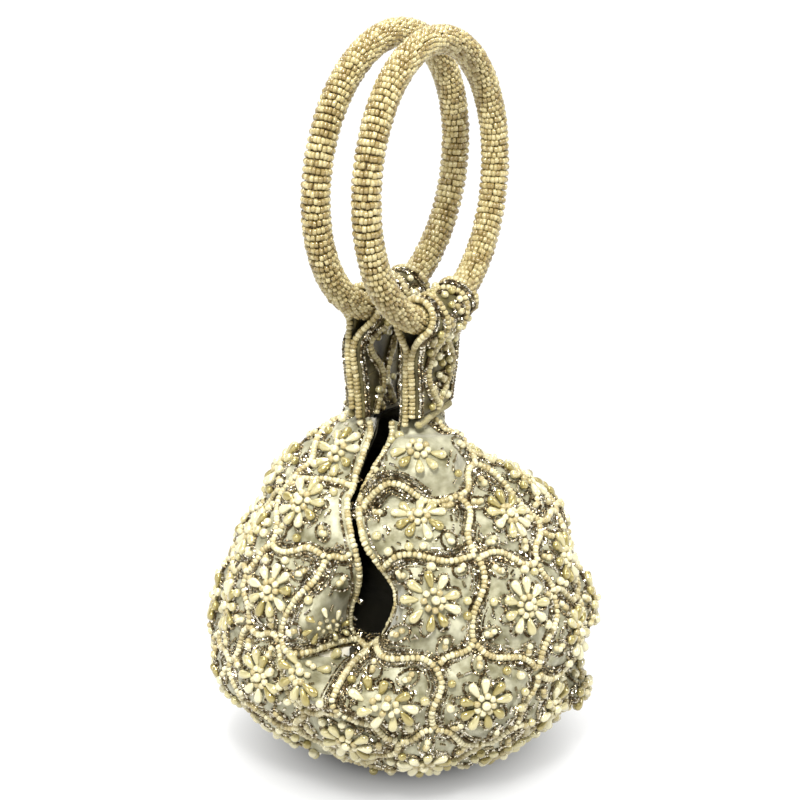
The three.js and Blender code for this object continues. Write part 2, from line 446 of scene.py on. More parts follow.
# Unit shapes: 1 long along X and 1 in diameter.
SEED = lathe_template([(-0.5, 0), (-0.48, 0.34), (-0.25, 0.5), (0.25, 0.5), (0.48, 0.34), (0.5, 0)], 8)
BARREL = lathe_template([(-0.5, 0), (-0.49, 0.36), (-0.33, 0.5), (0.33, 0.5), (0.49, 0.36), (0.5, 0)], 8)
COIL = lathe_template(
    [(-0.5, 0), (-0.48, 0.42), (-0.25, 0.5), (-0.1, 0.34), (0.1, 0.5), (0.3, 0.34), (0.48, 0.45), (0.5, 0)], 6
)
ROUND = lathe_template([(-0.5 * math.cos(a), 0.5 * math.sin(a)) for a in np.linspace(0, math.pi, 8)], 12)
PETAL = lathe_template([
    (-0.5, 0), (-0.47, 0.13), (-0.32, 0.27), (-0.05, 0.42), (0.2, 0.5), (0.38, 0.42), (0.47, 0.22), (0.5, 0)
], 10)


def frames_from(along, normal):
    """Frame rows for shapes laid along a direction, with their third axis out of the cloth."""
    along = unit(along)
    side = unit(np.cross(normal, along))
    return np.stack([along, side, np.cross(along, side)], 1)


def pick(values, places):
    """Rows of values at fractional positions."""
    low = np.clip(np.floor(places).astype(int), 0, len(values) - 1)
    high = np.clip(low + 1, 0, len(values) - 1)
    w = (places - low)[:, None]
    return values[low] * (1 - w) + values[high] * w


def bead_row(pile, points, normals, diameter, rise=0.42):
    """Seed beads strung along a line on the cloth."""
    run = run_along(points)
    count = int(round(run[-1] / BEAD_PITCH))
    places = np.interp(run[-1] * (np.arange(count) + 0.5) / count, run, np.arange(len(points)))
    centres = pick(points, places)
    normal = unit(pick(normals, places))
    along = pick(points, places + 0.02) - pick(points, places - 0.02)
    along += random.normal(0, 0.05, along.shape) * np.linalg.norm(along, axis=1, keepdims=True)
    size = diameter * random.normal(1, 0.04, count)
    centres = centres + normal * (size * rise)[:, None] + random.normal(0, 0.05, centres.shape)
    sizes = np.stack([np.full(count, run[-1] / count * 1.04), size, size], 1)
    pile.add_copies(SEED, centres, frames_from(along, normal), sizes, random.integers(0, SHADES, count))


def purl(pile, points, normals, radius=0.52, turn=1.15, sides=6, closed=False):
    """A strand of twisted metal purl: a tube with a bump for each turn of its wire."""
    if closed:
        points, normals = (np.vstack([rows, rows[:1]]) for rows in (points, normals))
    run = run_along(points)
    turns = max(int(round(run[-1] / turn)), 2)
    steps = turns * 3 + 1
    places = np.interp(np.linspace(0, run[-1], steps), run, np.arange(len(points)))
    centres, normal = pick(points, places), unit(pick(normals, places))
    along = unit(np.gradient(centres, axis=0))
    side = unit(np.cross(normal, along))
    normal = np.cross(along, side)
    centres = centres + normal * (radius * 0.8)
    bump = np.tile([0.62, 1.08, 1.0], turns + 1)[:steps] * radius * random.normal(1, 0.05, steps)
    bump[[0, -1]] = radius * 0.3
    angles = 2 * np.pi * (np.arange(sides) + random.random()) / sides
    swirl = angles[None, :] + 0.5 * np.arange(steps)[:, None]
    rim = np.cos(swirl)[..., None] * normal[:, None] + np.sin(swirl)[..., None] * side[:, None]
    shade = np.repeat(random.integers(0, SHADES, turns + 1), 3)[: steps - 1]
    pile.add_tube(centres[:, None] + rim * bump[:, None, None], np.repeat(shade, sides))


# ---------------------------------------------------------------- materials


def srgb(r, g, b):
    values = np.array([r, g, b]) / 255
    return (*np.where(values <= 0.04045, values / 12.92, ((values + 0.055) / 1.055) ** 2.4), 1.0)


def set_inputs(node, values):
    for socket, value in values.items():
        node.inputs[socket].default_value = value


def add_nodes(nodes, *kinds):
    return [nodes.new(f"ShaderNode{kind}") for kind in kinds]


def wire(links, *wires):
    """Each wire is a node and its output, then a node and its input."""
    for source, output, target, socket in wires:
        links.new(source.outputs[output], target.inputs[socket])


def plain_material(name, colour, roughness, metallic=0.0, coat=0.0, specular=0.5, sheen=0.0):
    material = bpy.data.materials.new(name)
    material.use_nodes = True
    set_inputs(material.node_tree.nodes["Principled BSDF"], {
        "Base Color": colour, "Roughness": roughness, "Metallic": metallic, "Coat Weight": coat,
        "Coat Roughness": 0.08, "Specular IOR Level": specular, "Sheen Weight": sheen,
    })
    return material


def woven_material(name, colours, roughness, scale, bump, sheen=0.3, metallic=0.0):
    """Cloth: mottled colour between two shades and a fine weave in the bump."""
    colours = [srgb(*colour) for colour in colours]
    material = plain_material(name, colours[0], roughness, metallic, sheen=sheen)
    nodes = material.node_tree.nodes
    shader = nodes["Principled BSDF"]
    kinds = ("TexCoord", "TexNoise", "ValToRGB", "TexWave", "Bump")
    place, mottle, ramp, weave, relief = add_nodes(nodes, *kinds)
    set_inputs(mottle, {"Scale": scale * 0.08, "Detail": 6})
    ramp.color_ramp.elements[0].position, ramp.color_ramp.elements[1].position = 0.35, 0.68
    ramp.color_ramp.elements[0].color, ramp.color_ramp.elements[1].color = colours
    weave.bands_direction = "DIAGONAL"
    set_inputs(weave, {"Scale": scale, "Distortion": 2.0})
    set_inputs(relief, {"Strength": bump, "Distance": 0.0002})
    wire(
        material.node_tree.links, (place, "Object", mottle, "Vector"), (mottle, "Fac", ramp, "Fac"),
        (ramp, "Color", shader, "Base Color"), (place, "Object", weave, "Vector"),
        (weave, "Fac", relief, "Height"), (relief, "Normal", shader, "Normal"),
    )
    return material


def shades(name, colours, roughness, coat, metallic=(0, 0, 0), endings=("", "_pale", "_deep")):
    """The shades of one kind of bead or thread."""
    return [
        plain_material(name + ending, srgb(*colour), rough, metal, coat)
        for ending, colour, rough, metal in zip(endings, colours, roughness, metallic)
    ]


SATIN = woven_material("satin", [(122, 117, 82), (198, 195, 166)], 0.42, 2400, 0.3, metallic=0.15)
# The straps' satin is darker than the pouch's: painted shade, standing in for the shadow between and under
# the straps.
SHADED_STRAP_SATIN = woven_material(
    "strap_satin_painted_shade", [(58, 52, 24), (118, 109, 68)], 0.42, 2400, 0.3, sheen=0, metallic=0.15
)
INTERLINING = woven_material("interlining", [(205, 198, 176), (226, 222, 206)], 0.95, 500, 0.4)
# The lining is near black partly as painted shade, for the dark inside of the pouch.
LINING = woven_material("lining", [(38, 35, 20), (62, 57, 36)], 0.7, 800, 0.3, sheen=0)
BINDING = woven_material("binding", [(150, 138, 86), (184, 172, 120)], 0.55, 700, 0.8)
# The tape is dark brown partly as painted shade, for the gaps between the ring's beads.
RING_TAPE = woven_material("ring_tape", [(84, 66, 36), (112, 92, 54)], 0.75, 600, 0.4)
BEADS = shades("cream_bead", [(200, 189, 146), (220, 211, 172), (178, 163, 116)], (0.28, 0.26, 0.3), 0.4)
RING_BEADS = shades("ring_bead", [(172, 156, 106), (190, 176, 128), (144, 125, 76)], (0.2, 0.18, 0.22), 0.6)
# The straps' beads are darker than the pouch's: painted shade for the shadow that falls on the straps.
SHADED_STRAP_BEADS = shades(
    "strap_bead_painted_shade", [(180, 166, 118), (200, 188, 144), (158, 142, 94)], (0.26, 0.24, 0.28), 0.5
)
PEARLS = shades(
    "pearl", [(206, 196, 146), (226, 218, 178), (172, 158, 98)], (0.2, 0.18, 0.22), 1.0,
    metallic=(0.3, 0.25, 0.4), endings=("", "_pale", "_gold"),
)
# The purl's shades vary at random along each strand. All are kept dark partly as painted shade, for the
# shadow beside the bead lines and petals.
SILVERS = shades(
    "silver_purl", [(158, 146, 116), (228, 221, 202), (98, 84, 60)], (0.24, 0.14, 0.3), 0.0,
    metallic=(1, 1, 1), endings=("", "_bright", "_dull"),
)


# ---------------------------------------------------------------- the pouch


def layer_mesh(name, side, depths, across_steps, up_steps, surface, material):
    """Closed cloth layer of one panel between two depths under its face."""
    across, t = (grid[1:] for grid in panel_grid(across_steps, up_steps))
    row = across_steps + 1
    size = 1 + up_steps * row
    column = np.arange(across_steps)
    points, faces = [], []
    for start, depth in zip((0, size), depths):
        grid = surface(side, across, t, depth)
        points += [grid[0].mean(0)[None], grid.reshape(-1, 3)]
        fan = np.stack([start + 0 * column, start + 1 + column, start + 2 + column], 1)
        ring = start + 1 + (np.arange(up_steps - 1)[:, None] * row + column)
        quads = np.stack([ring, ring + row, ring + row + 1, ring + 1], -1).reshape(-1, 4)
        faces += [fan, quads] if start else [fan[:, ::-1], quads[:, ::-1]]
    top = 1 + (up_steps - 1) * row + column
    faces.append(np.stack([top, top + 1, size + top + 1, size + top], 1))
    rise = 1 + np.arange(up_steps - 1) * row
    for edge, flip in ((rise, True), (rise + across_steps, False)):
        rim = np.stack([edge, edge + row, size + edge + row, size + edge], 1)
        faces.append(rim[:, ::-1] if flip else rim)
    faces.append(np.array([[0, 1, size + 1, size]]))
    faces.append(np.array([[0, size, size + 1 + across_steps, 1 + across_steps]]))
    return sheet_piece(name, points, faces, material)


def padding_face(side, across, t, depth):
    """The interlining stops short of the slit's edges."""
    return raised(side, across * 0.95, t, -depth)


def lining_face(side, across, t, depth):
    """The lining turns up to meet the satin along the slit's edges."""
    return raised(side, across, t, 1.4 * smooth(np.abs(across), 0.9, 1) - depth)


def finish_piece(piece, body, replaced=()):
    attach(piece, body)
    if replaced:
        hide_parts(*replaced)


def cell_walls(side):
    """The places where two flower cells meet on a panel, for each pair of cells."""
    across, t = (grid[6:] for grid in panel_grid(170, 230))
    grid = base_point(side, across, t)
    squared = ((grid[:, :, None, :] - SITE_PLACES) ** 2).sum(-1)
    own = squared.argmin(-1)
    whole, before, after = slice(None), slice(None, -1), slice(1, None)
    crossings = {}
    for here, there in (((whole, before), (whole, after)), ((before, whole), (after, whole))):
        for i, j in np.argwhere(own[here] != own[there]):
            one, two = own[here][i, j], own[there][i, j]
            start = squared[here][i, j, one] - squared[here][i, j, two]
            end = squared[there][i, j, one] - squared[there][i, j, two]
            share = start / (start - end)
            place = grid[here][i, j] * (1 - share) + grid[there][i, j] * share
            crossings.setdefault((min(one, two), max(one, two)), []).append(place)
    return crossings


WALL_GAP = 5.0  # a wall's places this far apart belong to two lines
SHORTEST_WALL, FEWEST_PLACES = 3.0, 5
WALL_SWING = 1.7


def wavy_line(places, run, swing):
    """A smooth line through the places of a wall in their order, waving to both sides of it."""
    length = run[-1] - run[0]
    even = np.linspace(0, 1, max(int(length / 0.8), 8))
    degree = 4 if len(places) > 12 else 2
    share = (run - run[0]) / length
    line = np.stack([np.polyval(np.polyfit(share, places[:, k], degree), even) for k in range(3)], 1)
    return line + swing * (np.sin(2 * np.pi * even) * min(length / 22, 1))[:, None]


def wall_lines(side):
    """Smooth wavy 3-D lines for the walls of one panel."""
    lines = []
    for (one, two), places in sorted(cell_walls(side).items()):
        places = np.array(places)
        apart = unit(SITE_PLACES[two] - SITE_PLACES[one])
        outward = places.mean(0) * (1, 1, 0.3)
        course = unit(np.cross(apart, outward - (outward @ apart) * apart))
        places = places[np.argsort(places @ course)]
        jumps = np.linalg.norm(np.diff(places, axis=0), axis=1)
        swing = apart * (WALL_SWING if (one + two) % 2 else -WALL_SWING)
        for part in np.split(places, np.argwhere(jumps > WALL_GAP).ravel() + 1):
            run = part @ course
            if len(part) >= FEWEST_PLACES and run[-1] - run[0] >= SHORTEST_WALL:
                lines.append(wavy_line(part, run, swing))
    return lines


def on_cloth(side, targets):
    across, t = find_on_panel(side, targets)
    return cloth_frame(side, across, t)


def sideways(points, normals, amount):
    """A line beside another on the cloth."""
    along = unit(np.gradient(points, axis=0))
    return points + unit(np.cross(normals, along)) * amount


def beaded_line(piles, points, normals, gap):
    bead_row(piles["beads"], points, normals, BEAD_SIZE)
    for offset in (gap, -gap):
        purl(piles["purl"], sideways(points, normals, offset), normals, radius=0.6)


def edge_room(side, across, t):
    """How far a place is from its panel's nearest slit edge."""
    here = base_point(side, across, t)
    edge = base_point(side, np.sign(across), t)
    room = np.linalg.norm(here - edge, axis=-1)
    return np.where(here[..., 2] > SLIT_BOTTOM - 3, room, 99.0)


def level_directions(normal):
    """Sideways and upward directions on the cloth."""
    upward = np.array([0, 0, 1.0]) if abs(normal[2]) < 0.95 else np.array([-1.0, 0, 0])
    right = unit(np.cross(upward, normal))
    return right, np.cross(normal, right)


SMALLEST_FLOWER, FULL_FLOWER, LARGEST_FLOWER = 5.8, 7.8, 8.8  # radii; a full one has the sizes below
WALL_ROOM = 3.2  # how far a flower keeps from its cell's wall
RAYS = 16  # directions in which a cell is measured
COILS = 100  # tried in each cell


class Patch:
    """A flat patch of coordinates x and y, laid on the cloth to sew things at."""

    def around(self, turn, distance):
        return self.spots(distance * np.cos(turn), distance * np.sin(turn))

    def along(self, turn):
        return np.outer(np.cos(turn), self.right) + np.outer(np.sin(turn), self.upward)


class FlowerCell(Patch):
    """The cell of one flower. Its spots also say how far they are from the cell's edge."""

    def __init__(self, index):
        self.index = index
        self.side, across, t = SITES[index]
        self.centre = base_point(self.side, np.array(across), np.array(t))
        normal = steps_normal(base_point, self.side, np.array(across), np.array(t))
        self.right, self.upward = level_directions(normal)

    def spots(self, x, y):
        targets = self.centre + np.outer(x, self.right) + np.outer(y, self.upward)
        s, v = find_on_panel(self.side, targets)
        places, normals = cloth_frame(self.side, s, v)
        from_wall, own = wall_distance(base_point(self.side, s, v))
        room = np.minimum(from_wall, edge_room(self.side, s, v))
        return places, normals, np.where(own == self.index, room, -1)

    def reach(self, turn):
        """How far the cell reaches in each direction before its wall's purl."""
        reach = np.zeros(len(turn))
        for distance in np.arange(3.0, 17.0, 1.0):
            _, _, room = self.around(turn, distance)
            open_here = (room > WALL_ROOM) & (reach >= distance - 1.01) | (distance == 3.0)
            reach = np.where(open_here, distance, reach)
        return reach


def sew_pearls(pile, places, out, along, sizes, lift, materials):
    """Round pearls on the cloth, lifted by a share of their size."""
    frames = frames_from(np.tile(along, (len(places), 1)), out)
    lifted = places + out * (sizes * lift)[:, None]
    pile.add_copies(ROUND, lifted, frames, np.repeat(sizes[:, None], 3, 1), materials)


def flower_heart(cell, scale, start, piles):
    """A pearl ringed by seed beads."""
    place, out, _ = cell.spots(np.zeros(1), np.zeros(1))
    sew_pearls(piles["pearls"], place, out, cell.right, np.array([2.7 * scale]), 1.7 / 2.7, np.array([1]))
    count = 8
    turn = start + 2 * np.pi * np.arange(count) / count
    ring, out, _ = cell.around(turn, 2.45 * scale)
    sizes = np.tile([1.7 * scale, 2.0 * scale, 2.0 * scale], (count, 1))
    frames = frames_from(cell.along(turn + np.pi / 2), out)
    piles["beads"].add_copies(SEED, ring + out * 1.1, frames, sizes, random.integers(0, SHADES, count))


def flower_petals(cell, scale, start, piles):
    """Long pearl petals, and the purl that dips between them and runs round their ends."""
    count = 9 if scale > 0.9 else 8
    turn = start + 2 * np.pi * (np.arange(count) + random.uniform(-0.12, 0.12, count)) / count
    length = 5.0 * scale * random.uniform(0.9, 1.08, count)
    petal, out, room = cell.around(turn, 2.95 * scale + length / 2)
    fits = (room > 1.6) & (petal[:, 2] < PEARL_TOP)
    outwards = cell.along(turn) + out * random.uniform(-0.12, 0.06, (count, 1))
    sizes = np.stack([length, np.full(count, 2.8 * scale), np.full(count, 2.5 * scale)], 1)
    shade = random.integers(0, SHADES, count)
    frames = frames_from(outwards, out)
    piles["pearls"].add_copies(PETAL, (petal + out * 1.15)[fits], frames[fits], sizes[fits], shade[fits])
    around = np.linspace(0, 2 * np.pi, count * 12, endpoint=False)
    dip = np.abs(np.cos(count * (around - start) / 2)) ** 0.7
    scallop, out, room = cell.around(around, scale * (4.6 + 4.1 * dip))
    if room.min() > 0.3:
        purl(piles["flower_purl"], scallop, out, radius=0.5, turn=1.0, sides=5, closed=True)


def loose_coils(cell, radius, piles):
    """Short coils of purl that fill the cell between the petals and the wall."""
    turn = random.uniform(0, 2 * np.pi, COILS)
    spot, out, room = cell.around(turn, random.uniform(0.6, 2.7, COILS) * radius)
    lean = cell.along(turn + np.pi / 2) + random.normal(0, 0.3, spot.shape)
    lean -= (lean * out).sum(1)[:, None] * out
    sizes = np.stack([random.uniform(1.3, 2.6, COILS), np.full(COILS, 0.95), np.full(COILS, 0.95)], 1)
    fits = (room > 2.7) & (spot[:, 2] < PEARL_TOP - 1)
    places, frames = (spot + out * 0.35)[fits], frames_from(lean, out)[fits]
    piles["coils"].add_copies(COIL, places, frames, sizes[fits], random.integers(0, 2, fits.sum()))


def fill_corners(cell, turn, reach, radius, piles):
    """An oval in each far corner of the cell, and round pearls along the rest of its edge."""
    peak = (reach >= np.maximum(np.roll(reach, 1), np.roll(reach, -1))) & (reach > radius + 2.6)
    corners = [k for k in range(RAYS) if peak[k] and not peak[k - 1]]
    for k in corners[:6]:
        oval(cell, piles["beads"], piles["flower_purl"], turn[k], distance=reach[k] - 1.5)
    for k in range(RAYS):
        near_corner = any(min((k - c) % RAYS, (c - k) % RAYS) < 2 for c in corners)
        least = 2.5 if k % 2 else 1.0
        if near_corner or reach[k] < radius + least:
            continue
        place, out, _ = cell.around(turn[k : k + 1], reach[k] - 0.4)
        if place[0, 2] <= PEARL_TOP:
            size, shade = random.uniform(2.7, 3.2, 1), random.integers(0, SHADES, 1)
            sew_pearls(piles["pearls"], place, out, cell.right, size, 0.4, shade)


def flower(index, piles):
    """A flower in its cell, and what is sewn round it."""
    cell = FlowerCell(index)
    turn = 2 * np.pi * np.arange(RAYS) / RAYS
    reach = cell.reach(turn)
    radius = float(np.clip(np.median(reach) - 0.2, SMALLEST_FLOWER, LARGEST_FLOWER))
    scale = radius / FULL_FLOWER
    start = random.uniform(0, 2 * np.pi)
    flower_heart(cell, scale, start, piles)
    flower_petals(cell, scale, start, piles)
    loose_coils(cell, radius, piles)
    fill_corners(cell, turn, reach, radius, piles)


def oval(patch, beads, silver, angle, distance=0.0, middle=(0, 0)):
    """A loop of purl round three seed beads, at a distance from the middle along an angle."""
    around = np.linspace(0, 2 * np.pi, 14, endpoint=False)
    long, short = 3.2, 2.5
    lean = angle + random.uniform(-0.4, 0.4)
    mid_x, mid_y = middle[0] + distance * np.cos(angle), middle[1] + distance * np.sin(angle)
    x = mid_x + long * np.cos(around) * np.cos(lean) - short * np.sin(around) * np.sin(lean)
    y = mid_y + long * np.cos(around) * np.sin(lean) + short * np.sin(around) * np.cos(lean)
    loop, out, _ = patch.spots(x, y)
    purl(silver, loop, out, radius=0.5, turn=1.1, sides=5, closed=True)
    offsets = np.array([-1.1, 0.1, 1.2])
    x = mid_x + offsets * np.cos(lean)
    y = mid_y + offsets * np.sin(lean) + np.array([0.3, -0.3, 0.3])
    places, out, _ = patch.spots(x, y)
    frames = frames_from(patch.along(np.full(3, lean + 1.3)), out)
    sizes = np.tile([1.7, 2.1, 2.1], (3, 1))
    beads.add_copies(SEED, places + out * 0.7, frames, sizes, random.integers(0, SHADES, 3))


def slit_edges(side, piles):
    """A bead row and a purl strand along each edge of the panel's slits."""
    t = np.linspace(0, 1, 700)
    heights = outline(t)[1]
    t = t[(heights > SLIT_BOTTOM - 1) & (heights < NECK_HEIGHT - 0.6)]
    for across in (-1.0, 1.0):
        s = np.full(t.shape, across * 0.995)
        points, normals = cloth_frame(side, s, t)
        inner, _ = cloth_frame(side, s * 0.94, t)
        toward_slit = unit(points - inner)
        lifted = unit(normals + 0.5 * toward_slit)
        bead_row(piles["beads"], points + toward_slit * 0.2 - normals * 0.5, lifted, BEAD_SIZE)
        purl(piles["purl"], points - toward_slit * 1.9, normals)


POUCH_PILES = {"beads": BEADS, "pearls": PEARLS}
POUCH_PILES |= dict.fromkeys(("purl", "thin_purl", "flower_purl", "coils"), SILVERS)


def embroider_pouch():
    for side in SIDES:
        piles = {name: Pile() for name in POUCH_PILES}
        for line in wall_lines(side):
            points, normals = on_cloth(side, line)
            beaded_line(piles, points, normals, 1.65)
            for name, radius, gap in (("thin_purl", 0.42, 2.75), ("coils", 0.38, 3.9)):
                for offset in (gap, -gap):
                    strand = sideways(points, normals, offset)
                    purl(piles[name], strand, normals, radius=radius, turn=0.95, sides=5)
        slit_edges(side, piles)
        for index, site in enumerate(SITES):
            if site[0] == side:
                flower(index, piles)
        for name, materials in POUCH_PILES.items():
            piece = piles[name].build(f"{side}_pouch_{name}", materials, materials is not SILVERS)
            finish_piece(piece, "pouch")


def make_pouch_cloth():
    for side in SIDES:
        satin = layer_mesh(f"{side}_satin", side, (0.0, 0.8), 160, 170, cloth_point, SATIN)
        finish_piece(satin, "pouch", [f"{side}_shell"])
        padding = layer_mesh(f"{side}_padding", side, (1.8, 2.8), 48, 56, padding_face, INTERLINING)
        finish_piece(padding, "pouch", [f"{side}_interlining"])
        inside = layer_mesh(f"{side}_inside", side, (3.1, 3.7), 48, 56, lining_face, LINING)
        finish_piece(inside, "pouch", [f"{side}_lining"])


# ---------------------------------------------------------------- straps

# Each strap is one band: up the outer leg, over the ring and down the inner leg to the neck. "outer"
# and "inner" are each leg's Y at its foot and at its top.
STRAPS = {
    "front": {
        "out": -1, "outer": (-9.6, -11.45), "inner": (-5.8, -8.15),
        "ring_x": -2.96, "tube_y": -12.75, "yaw": 0,
    },
    "back": {
        "out": 1, "outer": (13.6, 13.25), "inner": (9.8, 9.95),
        "ring_x": 2.96, "tube_y": 8.75, "yaw": -2.2,
    },
}
OUTER_FOOT, INNER_FOOT, LEG_TOP, TUBE_HEIGHT = 118.5, 115.6, 141.5, 151.0
CASING_RADIUS, CASING_HALF_ANGLE = 6.6, 19.0
LEG_HALF_THICKNESS = 1.5
STRAP_HALF_WIDTH = 14.5
STRAP_CLOTH = 1.6  # thickness
SPLIT_HEIGHT = 130.0  # the inner leg is two pieces, split at this height
RING_HEIGHT = 195.0
LOOP_ANGLES = [-58, -20, 15, 52, 90, 128, 165, 200]


def leg_points(strap, leg, foot, shift):
    """Places of a leg's outer face in Y and Z from its foot up, with 0 for their bent share."""
    heights = np.array([foot, SPLIT_HEIGHT, LEG_TOP])
    y = np.interp(heights, [foot, LEG_TOP + 2.6], strap[leg]) + shift
    return list(zip(y, heights, [0, 0, 0]))


def band_path(side):
    """The outer face's path in Y and Z with its bent share, evenly spaced from the outer leg's foot,
    and its length."""
    strap = STRAPS[side]
    out = strap["out"]
    loop = np.radians(LOOP_ANGLES)
    loop_y = strap["tube_y"] + out * CASING_RADIUS * np.cos(loop)
    points = leg_points(strap, "outer", OUTER_FOOT, out * LEG_HALF_THICKNESS)
    points += list(zip(loop_y, TUBE_HEIGHT + CASING_RADIUS * np.sin(loop), np.ones(len(loop))))
    points += leg_points(strap, "inner", INNER_FOOT, -out * LEG_HALF_THICKNESS)[::-1]
    curve = catmull_rom(np.array(points, float), np.linspace(0, 1, 600))
    run = run_along(curve[:, :2])
    even = np.linspace(0, run[-1], len(curve))
    return np.stack([np.interp(even, run, curve[:, k]) for k in range(3)], 1), run[-1]


BAND_PATHS = {side: band_path(side) for side in SIDES}


def band_half_width(height):
    return STRAP_HALF_WIDTH * (0.84 + 0.16 * smooth(height, OUTER_FOOT, OUTER_FOOT + 20))


def path_at(side, v, shift=0):
    """Y, Z and bent share at a share of the band's path, some of its steps further on."""
    path = BAND_PATHS[side][0]
    place = np.clip(v, 0, 1) * (len(path) - 1) + shift
    return [np.interp(place, np.arange(len(path)), path[:, k]) for k in range(3)]


def band_point(side, across, v, depth=0.0):
    """Point of a strap's face: across from -1 to 1, v from the outer foot to the inner foot."""
    strap = STRAPS[side]
    out = strap["out"]
    y, z, bent = path_at(side, v)
    dy, dz, _ = np.array(path_at(side, v, 1)) - path_at(side, v, -1)
    length = np.hypot(dy, dz)
    pillow = 0.7 * np.sqrt(np.clip(1 - (across * 0.96) ** 2, 0, 1)) - 0.5
    inward = depth - pillow
    y = y - inward * out * dz / length
    z = z + inward * out * dy / length
    bent = np.clip(bent, 0, 1)
    straight_x = -out * across * band_half_width(z)
    from_hub = RING_HEIGHT - z
    angle = -out * across * math.radians(CASING_HALF_ANGLE)
    bent_x = strap["ring_x"] + from_hub * np.sin(angle)
    bent_z = RING_HEIGHT - from_hub * np.cos(angle)
    bent_y = y + math.sin(math.radians(strap["yaw"])) * (bent_x - strap["ring_x"])
    pairs = ((straight_x, bent_x), (y, bent_y), (z, bent_z))
    return np.stack([straight + (curved - straight) * bent for straight, curved in pairs], -1)


def band_frame(side, across, v):
    return band_point(side, across, v), steps_normal(band_point, side, across, v, 4e-3)


def split_share(side):
    """Where along the band the inner leg's lower piece starts."""
    path, _ = BAND_PATHS[side]
    middle = len(path) // 2
    below = np.argmax(path[middle:, 1] < SPLIT_HEIGHT)
    return (middle + below) / (len(path) - 1)


def band_cloth(name, side, start, end, across_steps, along_steps):
    """Closed piece of the strap's cloth between two shares of the band."""
    across, v = np.meshgrid(np.linspace(-1, 1, across_steps + 1), np.linspace(start, end, along_steps + 1))
    row, size = across_steps + 1, across.size
    points = [band_point(side, across, v, depth).reshape(-1, 3) for depth in (0.0, STRAP_CLOTH)]
    columns, rows = np.arange(across_steps), np.arange(along_steps) * row
    cell = (rows[:, None] + columns).ravel()
    front = np.stack([cell, cell + 1, cell + row + 1, cell + row], 1)
    faces = [front, size + front[:, ::-1]]
    edges = [
        (columns, 1, False), (along_steps * row + columns, 1, True),
        (rows, row, True), (rows + across_steps, row, False),
    ]
    for first, step, flip in edges:
        rim = np.stack([first, size + first, size + first + step, first + step], 1)
        faces.append(rim[:, ::-1] if flip else rim)
    return sheet_piece(name, points, faces, SHADED_STRAP_SATIN)


def bend_at_ring(piece, side, slot_name, replaced=()):
    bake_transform(piece)
    if replaced:
        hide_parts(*replaced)


def bend_at_neck(piece, side, slot_name):
    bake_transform(piece)


LENS_LENGTH = 27.0  # the straps' inner bead rows close up to a point every so often


def lens_inset(side, v):
    """How far a strap's curving bead row stands in from its edge."""
    run = v * BAND_PATHS[side][1]
    return 5.4 + 6.4 * np.cos(np.pi * run / LENS_LENGTH) ** 2


class StrapPatch(Patch):
    """A flat patch round a place along the middle of a strap."""

    right, upward = np.array([1.0, 0, 0]), np.array([0, 0, 1.0])

    def __init__(self, side, run):
        self.side, self.run = side, run

    def spots(self, x, y):
        v = (self.run + np.asarray(y)) / BAND_PATHS[self.side][1]
        places, normals = band_frame(self.side, np.asarray(x) / 13.5, v)
        return places, normals, None

    def inside(self, start, end, half_length):
        """Whether it lies between two shares of the band."""
        length = BAND_PATHS[self.side][1]
        return start < (self.run - half_length) / length and (self.run + half_length) / length < end

    def pearls(self, pile, xs, ys):
        places, out, _ = self.spots(xs, ys)
        sizes, shade = random.uniform(2.3, 3.0, len(xs)), random.integers(0, SHADES, len(xs))
        sew_pearls(pile, places, out, self.right + 0.01, sizes, 0.42, shade)


def band_motifs(side, start, end, piles):
    """In each lens between the curving rows: ovals of purl and seeds with round pearls. Where the rows
    close up: an oval and two pearls at each edge."""
    beads, pearls, silver = piles["beads"], piles["pearls"], piles["purl"]
    lenses = BAND_PATHS[side][1] / LENS_LENGTH
    for half in range(int(lenses * 2) + 1):
        patch = StrapPatch(side, (half + 0.5) * LENS_LENGTH / 2)
        if patch.inside(start, end, 5):
            swing = 1.5 if half % 2 else -1.5
            oval(patch, beads, silver, np.pi / 2 - 0.3 * swing, middle=(swing * 2.2, 0.5))
            oval(patch, beads, silver, 0.4 * swing, middle=(-swing * 1.6, 3.2))
            xs = swing * np.array([-1.3, -3.5, 0.2, 3.4, 1.0, -3.2])
            patch.pearls(pearls, xs, [-1.5, -2.9, -4.4, -4.6, 5.6, 5.8])
    for k in range(1, int(lenses) + 1):
        patch = StrapPatch(side, k * LENS_LENGTH)
        if patch.inside(start, end, 4):
            for edge in (-1, 1):
                oval(patch, beads, silver, np.pi / 2, middle=(edge * 7.2, 0))
                patch.pearls(pearls, [edge * 8.4, edge * 8.2], [4.8, -4.8])


def band_rows(side, edge, v, piles):
    """The beads and purl along a strap's edge, and the curving row inside them."""
    points, normals = band_frame(side, np.full(v.shape, edge * 0.99), v)
    inside, _ = band_frame(side, np.full(v.shape, edge * 0.9), v)
    outwards = unit(points - inside)
    bent = np.clip(path_at(side, v)[2], 0, 1)
    depth = (1.75 - 2.0 * bent)[:, None]  # round the ring the beads keep clear of its own
    bead_row(piles["beads"], points + outwards * 0.5 - normals * depth, outwards, 2.3, rise=0.2)
    for inset in (0.6, 2.2):
        purl(piles["purl"], points - outwards * inset, normals, radius=0.5)
    half_width = np.linalg.norm(points - band_point(side, 0 * v, v), axis=1)
    points, normals = band_frame(side, edge * (1 - lens_inset(side, v) / half_width), v)
    beaded_line(piles, points, normals, 1.5)


